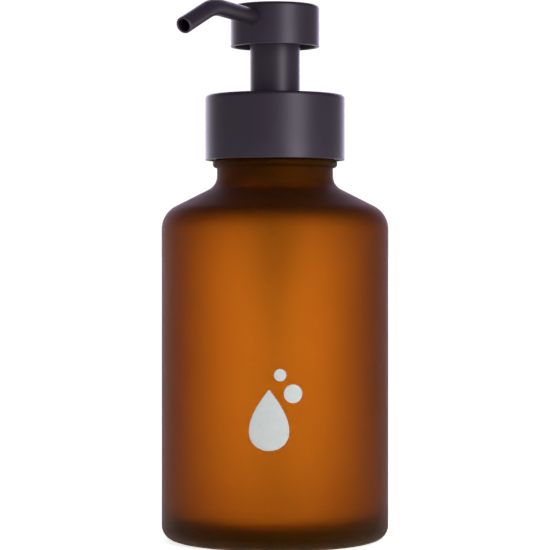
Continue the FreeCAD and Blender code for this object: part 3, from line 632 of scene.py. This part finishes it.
# ------------------------------------------------------------------------------ bottle
@dataclass
class Bottle:
    """The hollow glass. Lengths in millimetres."""

    wall: float = 2.8
    neck_radius: float = 19.2
    neck_wall: float = 3.0
    body_height: float = 107.7
    slope: float = 0.505
    foot_round: float = 4.6
    shoulder_round: float = 8.5
    neck_root_round: float = 5.0
    bead_stand: float = 1.4
    bead_height: float = 2.8
    finish_height: float = 12.9
    base_thickness: float = 5.2
    base_hollow: float = 1.2
    thread_pitch: float = 4.2
    thread_depth: float = 1.0
    thread_rise: float = 5.25
    thread_start: float = 8.25
    thread_half: float = 1.1
    thread_flank: float = 0.6
    thread_fade: float = 0.35  # radians over which each end of the thread comes up
    standing_inset: float = 2.0
    standing_round: float = 2.0
    dome_inset: float = 6.0
    dome_round: float = 20.0
    bead_root_round: float = 0.18
    bead_round: float = 1.2
    lip_round: float = 0.8
    outside_from: float = 1.0  # a point this far outside the neck's bore is on its outer side
    thread_step: float = 0.22
    side_step: float = 9.0
    notch_count: int = 150
    notch_depth: float = 0.12
    notch_radius: float = 31.8
    notch_spread: float = 0.9
    notch_height: float = 0.6
    shoulder_fade: float = 12.0
    base_fade: float = 7.0
    near: float = 0.01
    columns: int = 168

    def profile(self) -> tuple[np.ndarray, int]:
        """The glass's section: outside from the foot's centre up to the lip, then back down inside.

        Returns:
            The section's rows in metres, and the number of the first row inside the lip.
        """
        radius, _, mouth = spread("bottle")
        inner = radius - self.wall
        bead = mouth - self.finish_height
        low, high = bead - self.bead_height / 2, bead + self.bead_height / 2
        cone = self.body_height + (radius - self.neck_radius) * self.slope
        corner = self.body_height - self.wall * math.hypot(1.0, self.slope) + self.wall * self.slope
        bore = self.neck_radius - self.neck_wall
        standing = radius - self.foot_round - self.standing_inset
        dome = standing - self.dome_inset
        stand = self.neck_radius + self.bead_stand
        floor = self.base_thickness + self.base_hollow
        inner_root = corner + (inner - bore) * self.slope
        outside = [
            (0.0, self.base_hollow, 0.0), (dome, self.base_hollow, self.dome_round),
            (standing, 0.0, self.standing_round), (radius, 0.0, self.foot_round),
            (radius, self.body_height, self.shoulder_round),
            (self.neck_radius, cone, self.neck_root_round),
            (self.neck_radius, low, self.bead_root_round), (stand, low, self.bead_round),
            (stand, high, self.bead_round), (self.neck_radius, high, self.bead_root_round),
            (self.neck_radius, mouth, self.lip_round),
        ]
        inside = [
            (bore, mouth, self.lip_round), (bore, inner_root, self.neck_root_round + self.wall),
            (inner, corner, self.shoulder_round - self.wall),
            (inner, self.base_thickness, self.foot_round),
            (dome, floor, self.dome_round), (0.0, floor, 0.0),
        ]
        rows = rounded_outline(outside + inside, closed=False)
        middle = (rows[1:] + rows[:-1]) / 2 / MM
        threaded = ((middle[:, 1] > high) & (middle[:, 1] < mouth - self.lip_round)
                    & (middle[:, 0] > bore + self.outside_from))
        rows = divided(rows, np.where(threaded, self.thread_step, self.side_step) * MM)
        return rows, int(np.argmax(rows[:, 1])) + 2

    def thread(self, radius: np.ndarray, height: np.ndarray,
               turn: np.ndarray) -> tuple[np.ndarray, np.ndarray]:
        """Raises the neck's outside into a screw thread and notches the standing ring.

        The thread's middle is at start + pitch * turn / (2 pi), for one turn and a quarter, and its
        height falls from its crest to nothing across its flanks and along its first and last 20
        degrees. The ring has small radial notches, cos(notch_count turn) cut off at zero.

        Args:
            radius: Grid of radii in metres.
            height: Grid of heights in metres.
            turn: Grid of angles in radians.

        Returns:
            The offsets of radius and of height, in metres.
        """
        _, _, mouth = spread("bottle")
        r, z = radius / MM, height / MM
        whole = TAU * self.thread_rise / self.thread_pitch
        raised = np.zeros_like(r)
        for lap in range(2):
            along = turn + TAU * lap
            middle = mouth - self.thread_start + self.thread_pitch * along / TAU
            flank = np.clip((self.thread_half - np.abs(z - middle)) / self.thread_flank, 0.0, 1.0)
            ends = np.clip(np.minimum(along, whole - along) / self.thread_fade, 0.0, 1.0)
            raised = np.maximum(raised, flank**2 * (3 - 2 * flank) * ends**2 * (3 - 2 * ends))
        over_bead = mouth - self.finish_height + self.bead_height / 2
        neck = (r > self.neck_radius - self.near) & (z > over_bead)
        ring = np.exp(-(((r - self.notch_radius) / self.notch_spread) ** 2)) * (z < self.notch_height)
        notch = np.clip(np.cos(self.notch_count * turn), 0.0, 1.0)
        return np.where(neck, raised * self.thread_depth * MM, 0.0), ring * notch * self.notch_depth * MM

    def painted_shade_share(self, radius: np.ndarray, height: np.ndarray, turn: np.ndarray) -> np.ndarray:
        """How much shade is painted on the glass: 1 from the shoulder up and at the base, 0 along the side.

        It rises as 3 u^2 - 2 u^3 over shoulder_fade about the shoulder and over base_fade at the foot.

        Args:
            radius: Grid of radii in metres.
            height: Grid of heights in metres.
            turn: Grid of angles in radians.

        Returns:
            Values from 0 to 1.
        """
        z = height / MM
        above = np.clip((z - self.body_height) / self.shoulder_fade + 0.5, 0.0, 1.0)
        below = np.clip(1.0 - (z - self.base_thickness / 2) / self.base_fade, 0.0, 1.0)
        share = np.maximum(above, below)
        return share * share * (3.0 - 2.0 * share)

    def build(self, palette: Palette) -> None:
        """Makes the glass.

        Args:
            palette: Where the finishes come from.
        """
        rows, lip = self.profile()
        order = np.arange(len(rows))[1:-1]
        frost = np.broadcast_to((order < lip)[:, None], (len(order), self.columns)).astype(float)
        # the second mark is painted shade: 1 at the neck, the shoulder and the base, 0 along the side
        glass = Lathe("bottle_glass", rows, self.columns, False, self.thread,
                      {"frost": lambda radius, height, turn: frost, "painted_shade": self.painted_shade_share}).build()
        palette.dress(glass, Finish.AMBER_GLASS)
        settle(glass, "bottle", "amber_glass", "bottle")


@dataclass
class PrintedMark:
    """A drop and two bubbles in pale ink on the front of the bottle. Lengths in millimetres."""

    facing: float = FRONT
    proud: float = 0.05
    flatness: float = 0.4
    taper: float = 0.55
    swell: float = 1.29  # brings the tapered drop back to its half width
    rows: int = 40
    columns: int = 40

    def patch(self, name: str, across: float, foot: float, half_width: np.ndarray,
              rise: np.ndarray) -> bpy.types.Object:
        """A thin skin wrapped on the bottle.

        Point (i, k) is across + half_width_i * cos(p_k) round the bottle, foot + rise_i up it, and
        sits proud of the glass by sin(p_k) to the power of flatness, so the face is flat and the rim
        thin.

        Args:
            name: The piece's name.
            across: Place of its middle round the bottle, to the right of the mark's centre line.
            foot: Height of its lowest point.
            half_width: Its half width at each row, zero at the first and last.
            rise: Each row's height above the foot.

        Returns:
            The new piece.
        """
        radius, _, _ = spread("bottle")
        phase = np.linspace(0.0, TAU, self.columns, endpoint=False)
        side, wave = np.cos(phase), np.sin(phase)
        depth = np.sign(wave) * np.abs(wave) ** self.flatness * self.proud
        x = across + half_width[1:-1, None] * side[None, :]
        turn = x / radius + math.radians(self.facing) - math.pi / 2
        out = np.broadcast_to(radius + depth[None, :], turn.shape)
        up = np.broadcast_to(foot + rise[1:-1, None], turn.shape)
        points = np.stack([out * np.cos(turn), out * np.sin(turn), up], -1).reshape(-1, 3)
        middle = across / radius + math.radians(self.facing) - math.pi / 2
        poles = np.array([[radius * math.cos(middle), radius * math.sin(middle), foot + z]
                          for z in (rise[0], rise[-1])])
        count = len(rise) - 2
        quads = grid_faces(count, self.columns, False, True)[:, ::-1]
        fans = [fan[:, [1, 0, 2]] for fan in pole_fans(count, self.columns)]
        return new_piece(name, np.concatenate([points, poles]) * MM, quads, fans)

    def build(self, palette: Palette) -> None:
        """Makes the drop and the bubbles.

        Args:
            palette: Where the finishes come from.
        """
        along = np.linspace(0.0, math.pi, self.rows)
        rise = (1 - np.cos(along)) / 2
        round_width = np.sin(along)
        drop_width = round_width * (1 - rise) ** self.taper * self.swell
        shapes = [
            ("mark_drop", -1.9, 32.3, 6.6 * drop_width, 19.4 * rise),
            ("mark_bubble_large", 5.7, 47.3, 2.95 * round_width, 5.9 * rise),
            ("mark_bubble_small", 1.6, 54.2, 1.95 * round_width, 3.9 * rise),
        ]
        for name, across, foot, half_width, height in shapes:
            piece = self.patch(name, across, foot, half_width, height)
            palette.dress(piece, Finish.INK)
            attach(piece, "bottle")
            LOG.info("%s: %d faces on bottle", name, len(piece.data.polygons))


# ------------------------------------------------------------------------------ pump's metal skins
RUB_SPREAD = 0.6  # millimetres over which a rubbed edge fades to a third


def rubbed(*edges: tuple[float, float]) -> Callable[[np.ndarray, np.ndarray, np.ndarray], np.ndarray]:
    """An attribute that is 1 on the given (radius, height) rings and fades away from them.

    Args:
        edges: Radius and height of each rubbed ring, in millimetres.

    Returns:
        A function of the grids of radius, height and angle.
    """
    def value(radius: np.ndarray, height: np.ndarray, turn: np.ndarray) -> np.ndarray:
        """The largest of exp(-(distance / RUB_SPREAD)^2) over the rings."""
        near = [np.exp(-(((radius / MM - r) ** 2 + (height / MM - z) ** 2) / RUB_SPREAD**2))
                for r, z in edges]
        return np.max(near, axis=0)
    return value


@dataclass
class Skins:
    """Collar, neck sleeve and head cup: thin spun metal over the mouldings. Lengths in millimetres."""

    wall: float = 1.1
    sleeve_wall: float = 0.8
    round_top: float = 1.3
    round_edge: float = 0.28
    round_fine: float = 0.1
    round_collar_inner: float = 0.4
    round_sleeve_foot: float = 0.25
    round_head_inner: float = 1.2
    hole_gap: float = 0.3
    columns: int = 192

    def build(self, palette: Palette) -> None:
        """Makes the three skins.

        Args:
            palette: Where the finishes come from.
        """
        sleeve, sleeve_foot, sleeve_top = spread("neck_sleeve")
        radius, foot, top = spread("collar_shell")
        hole, bore = sleeve + self.hole_gap, radius - self.wall
        collar = [
            (bore, foot, self.round_edge), (radius, foot, self.round_edge), (radius, top, self.round_top),
            (hole, top, self.round_edge), (hole, top - self.wall, self.round_fine),
            (bore, top - self.wall, self.round_collar_inner),
        ]
        self.skin("collar_skin", collar, True, ((radius, foot), (radius, top), (hole, top)), palette,
                  "closure", "collar_shell")
        bore = sleeve - self.sleeve_wall
        tube = [
            (bore, sleeve_foot, self.round_fine), (sleeve, sleeve_foot, self.round_sleeve_foot),
            (sleeve, sleeve_top, self.round_fine), (bore, sleeve_top, self.round_fine),
        ]
        self.skin("sleeve_skin", tube, True, ((sleeve, sleeve_foot),), palette, "head", "neck_sleeve")
        radius, foot, top = spread("head_shell")
        bore = radius - self.wall
        cup = [
            (0.0, top - self.wall, 0.0), (bore, top - self.wall, self.round_head_inner),
            (bore, foot, self.round_edge), (radius, foot, self.round_edge),
            (radius, top, self.round_top), (0.0, top, 0.0),
        ]
        self.skin("head_skin", cup, False, ((radius, foot), (radius, top)), palette, "head", "head_shell")

    def skin(self, name: str, corners: list[tuple[float, float, float]], closed: bool,
             edges: tuple[tuple[float, float], ...], palette: Palette, body: str, node: str) -> None:
        """Makes one turned skin.

        Args:
            name: The piece's name.
            corners: Its section's corners.
            closed: Whether the section is a loop.
            edges: The rings where hands have rubbed it.
            palette: Where the finishes come from.
            body: The body it moves with.
            node: The solid it stands for.
        """
        rows = rounded_outline(corners, closed)
        piece = Lathe(name, rows, self.columns, closed, mark={"rub": rubbed(*edges)}).build()
        palette.dress(piece, Finish.BLACK_METAL)
        settle(piece, body, "black_metal", node)


@dataclass
class Spout:
    """Thin bent tube: a rising run, one bend and a falling run. Lengths in millimetres."""

    radius: float = 2.7
    wall: float = 0.65
    rise: float = 3.5
    fall: float = 24.5
    bend: float = 18.0
    corner: float = 37.4
    drop: float = 5.9
    inner_end: float = 5.6
    reach: float = 54.3
    even_end: float = 0.6  # the evenly spaced rings stop this far before the mouth
    last_ring: float = 0.4
    rub_spread: float = 0.8
    rings: int = 72
    lip_rings: int = 13
    columns: int = 56

    def path(self, along: np.ndarray) -> tuple[np.ndarray, np.ndarray]:
        """The tube's middle line and its upward normal.

        The line runs straight at the rising angle, turns on an arc about a point below it, and runs
        straight at the falling angle. Distances before and after the arc are continued straight.

        Args:
            along: Distance from the inner end.

        Returns:
            The points and the unit normals that point up, one row each.
        """
        _, _, top = spread("head_shell")
        rise, fall = math.radians(self.rise), math.radians(self.fall)
        first = (self.corner - self.inner_end) / math.cos(rise) - self.bend * math.tan((rise + fall) / 2)
        turned = np.clip(along - first, 0.0, self.bend * (rise + fall)) / self.bend
        before = np.minimum(along, first)
        after = np.maximum(along - first - self.bend * (rise + fall), 0.0)
        angle = rise - turned
        y = -self.inner_end - before * math.cos(rise) - self.bend * (math.sin(rise) - np.sin(angle))
        z = top - self.drop + self.inner_end * math.tan(rise) + before * math.sin(rise)
        z = z + self.bend * (np.cos(angle) - math.cos(rise))
        y, z = y - after * math.cos(fall), z - after * math.sin(fall)
        zero = np.zeros_like(y)
        return np.stack([zero, y, z], 1), np.stack([zero, np.sin(angle), np.cos(angle)], 1)

    def length(self) -> float:
        """Length of the middle line."""
        rise, fall = math.radians(self.rise), math.radians(self.fall)
        reach = self.bend * math.tan((rise + fall) / 2)
        first = (self.corner - self.inner_end) / math.cos(rise) - reach
        last = (self.reach - self.corner) / math.cos(fall) - reach
        return first + self.bend * (rise + fall) + last

    def build(self, palette: Palette) -> None:
        """Makes the tube with its wall and rounded mouth.

        Args:
            palette: Where the finishes come from.
        """
        end = self.length()
        bore = self.radius - self.wall
        lip = np.linspace(0.0, math.pi, self.lip_rings)
        run = np.concatenate([np.linspace(0.0, end - self.even_end, self.rings), [end - self.last_ring]])
        half = self.wall / 2
        along = np.concatenate([run, end - half + half * np.sin(lip), run[::-1]])
        ring = np.concatenate([
            np.full(len(run), self.radius), bore + half + half * np.cos(lip), np.full(len(run), bore)])
        centre, upward = self.path(along)
        side = np.tile([[1.0, 0.0, 0.0]], (len(along), 1))
        tube = swept("spout_skin", centre * MM, -side, upward, ring * MM, self.columns)
        tip = np.exp(-((np.repeat(along, self.columns) - end) / self.rub_spread) ** 2)
        tube.data.attributes.new("rub", "FLOAT", "POINT").data.foreach_set("value", tip.astype(np.float32))
        palette.dress(tube, Finish.BLACK_METAL)
        settle(tube, "head", "black_metal", "spout_tube")


# ------------------------------------------------------------------------------ pump's inner parts
@dataclass
class ReturnSpring:
    """Round-wire spring with a closed coil at each end. Lengths in millimetres."""

    wire: float = 0.9
    coils: float = 9.5
    stroke: float = 12.0
    closed_turns: float = 0.8
    opening_turns: float = 0.5
    closed_rate: float = 0.16  # rise of a closed coil as a share of an open coil's extra rise
    rings: int = 560
    columns: int = 14

    def build(self, palette: Palette) -> None:
        """Makes the helix (R cos t, R sin t, z(t)), whose rise per turn is small in the end coils.

        Args:
            palette: Where the finishes come from.
        """
        outer, foot, top = spread("return_spring")
        radius = outer - self.wire / 2
        turn = np.linspace(0.0, TAU * self.coils, self.rings)
        ends = np.minimum(turn, TAU * self.coils - turn) / TAU
        open_rate = np.clip((ends - self.closed_turns) / self.opening_turns, 0.0, 1.0)
        height = np.concatenate([[0.0], np.cumsum(self.closed_rate + open_rate[1:])])
        middle = height / height[-1] * (top - foot - self.wire) + foot + self.wire / 2
        centre = np.stack([radius * np.cos(turn), radius * np.sin(turn), middle], 1)
        out = np.stack([np.cos(turn), np.sin(turn), np.zeros_like(turn)], 1)
        along = np.gradient(centre, axis=0)
        along /= np.linalg.norm(along, axis=1)[:, None]
        spring = swept("return_spring_wire", centre * MM, out, np.cross(along, out),
                       np.full(len(turn), self.wire / 2 * MM), self.columns, wrap=False)
        palette.dress(spring, Finish.STEEL)
        settle(spring, "engine", "steel", "return_spring")
        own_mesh(spring)


class InnerParts:
    """The mouldings, seals, balls and meshes, which keep their solids."""

    FINISHES = {
        "black_plastic": Finish.BLACK_PLASTIC, "natural_plastic": Finish.NATURAL_PLASTIC,
        "soft_seal": Finish.SOFT_SEAL, "steel": Finish.STEEL, "nylon_mesh": Finish.NYLON_MESH,
        "black_metal": Finish.BLACK_METAL, "amber_glass": Finish.AMBER_GLASS,
    }

    def build(self, palette: Palette) -> None:
        """Dresses every solid with its slot's finish.

        Args:
            palette: Where the finishes come from.
        """
        slots = {part["node"]: part["material_slot"] for part in frame["record"]["subparts"]}
        for name, node in frame["nodes"].items():
            palette.dress(node, self.FINISHES[slots[name]])
            LOG.info("%s: solid dressed as %s", name, slots[name])


# ------------------------------------------------------------------------------ studio
@dataclass(frozen=True)
class Softbox:
    """A rectangular soft light that faces the bottle's axis.

    Attributes:
        name: The light's name.
        azimuth: Its direction from the axis in degrees, measured as the camera's is.
        distance: Its distance from the axis.
        height: Its height above the floor.
        size: Its width and height.
        power: Its power in watts.
    """

    name: str
    azimuth: float
    distance: float
    height: float
    size: tuple[float, float]
    power: float


@dataclass
class Studio:
    """Pale floor, dim white room with one bright panel, soft lights and the camera.

    Lengths are in metres.
    """

    facing: float = FRONT
    distance: float = 0.73
    eye: float = 0.09455
    lens: float = 144.2
    shift: float = -0.04
    room_light: float = 0.2
    room_tint: tuple[float, float, float] = (1.0, 0.88, 1.27)
    panel_light: float = 4.5
    panel_edge: float = 0.7
    panel_full: float = 0.985
    backdrop: float = 1.05
    aim: float = 0.12  # height on the axis that the soft lights point at
    floor_radius: tuple[float, float] = (0.05, 90.0)
    floor_rings: int = 28
    floor_columns: int = 96
    sensor: float = 36.0  # millimetres, as the lens
    clip: tuple[float, float] = (0.01, 50.0)
    softboxes: tuple[Softbox, ...] = (
        Softbox("key_softbox", 66.0, 0.55, 0.22, (0.24, 0.62), 2.3),
        Softbox("left_softbox", -108.0, 0.6, 0.14, (0.25, 0.6), 0.45),
    )

    def build(self) -> None:
        """Makes the floor, the surroundings, the lights and the camera."""
        self.floor()
        self.surroundings()
        for box in self.softboxes:
            self.hang(box)
        self.camera()

    def floor(self) -> None:
        """A wide pale floor, a disc of rings (r_i cos t_j, r_i sin t_j, 0)."""
        columns = self.floor_columns
        rings = np.geomspace(*self.floor_radius, self.floor_rings)[::-1]
        angle = np.linspace(0.0, TAU, columns, endpoint=False)
        radius, turn = np.meshgrid(rings, angle, indexing="ij")
        points = np.stack([radius * np.cos(turn), radius * np.sin(turn), np.zeros_like(turn)], -1)
        ring = np.arange(columns)
        start = (len(rings) - 1) * columns
        middle = np.full_like(ring, len(rings) * columns)
        fan = np.stack([start + ring, start + (ring + 1) % columns, middle], 1)
        points = np.concatenate([points.reshape(-1, 3), [[0.0, 0.0, 0.0]]])
        disc = new_piece("floor", points, grid_faces(len(rings), columns, False, True), [fan])
        s = Shader("pale_floor")
        cloud = s.noise(3.0, 4.0)
        disc.data.materials.append(s.finish({
            "Base Color": s.blend(cloud, (0.82, 0.92, 0.66), (0.84, 0.94, 0.68)), "Roughness": 0.9,
            "Specular IOR Level": 0.1, "Emission Color": (1.0, 1.0, 1.0, 1.0), "Emission Strength": 0.76,
        }))

    def surroundings(self) -> None:
        """A dim white room whose far wall, opposite the camera, is a bright soft panel.

        The panel's brightness falls off smoothly with the angle from its middle. What the camera
        sees of the room directly is plain white.
        """
        world = bpy.data.worlds.new("white_room")
        world.use_nodes = True
        room = Graph(world.node_tree)
        turn = math.radians(self.facing)
        way = room.node("ShaderNodeTexCoord", output="Generated")
        towards = room.node("ShaderNodeVectorMath", {"operation": "DOT_PRODUCT"},
                            {0: way, 1: (-math.sin(turn), math.cos(turn), 0.0)}, output="Value")
        panel = towards.ramp(self.panel_edge, self.panel_full)
        seen = room.node("ShaderNodeLightPath", output="Is Camera Ray")
        light = self.room_light + panel * (self.panel_light - self.room_light)
        background = world.node_tree.nodes["Background"]
        room.link(room.blend(seen, self.room_tint, (1.0, 1.0, 1.0)), background.inputs["Color"])
        room.link(light * (1 - seen) + seen * self.backdrop, background.inputs["Strength"])
        bpy.context.scene.world = world
        bpy.context.scene.view_settings.view_transform = "Standard"

    def hang(self, box: Softbox) -> None:
        """Puts a soft light in its place.

        Args:
            box: The light's place, size and power.
        """
        data = bpy.data.lights.new(box.name, "AREA")
        data.shape, data.size, data.size_y, data.energy = "RECTANGLE", *box.size, box.power
        light = bpy.data.objects.new(box.name, data)
        turn = math.radians(box.azimuth)
        light.location = (box.distance * math.sin(turn), -box.distance * math.cos(turn), box.height)
        light.rotation_euler = (math.atan2(box.distance, box.height - self.aim), 0.0, turn)
        light.visible_camera = False
        bpy.context.scene.collection.objects.link(light)

    def camera(self) -> None:
        """A level camera that looks at the axis."""
        data = bpy.data.cameras.new("camera")
        data.lens, data.sensor_width, data.shift_y = self.lens, self.sensor, self.shift
        data.clip_start, data.clip_end = self.clip
        camera = bpy.data.objects.new("camera", data)
        turn = math.radians(self.facing)
        camera.location = (self.distance * math.sin(turn), -self.distance * math.cos(turn), self.eye)
        camera.rotation_euler = (math.pi / 2, 0.0, turn)
        bpy.context.scene.collection.objects.link(camera)
        bpy.context.scene.camera = camera


def main() -> None:
    """Builds the studio and the dispenser."""
    logging.basicConfig(level=logging.INFO, format="%(name)s: %(message)s")
    palette = Palette()
    Studio().build()
    InnerParts().build(palette)
    for part in (Bottle(), PrintedMark(), Skins(), Spout(), ReturnSpring()):
        part.build(palette)


if __name__ == "__main__":
    main()
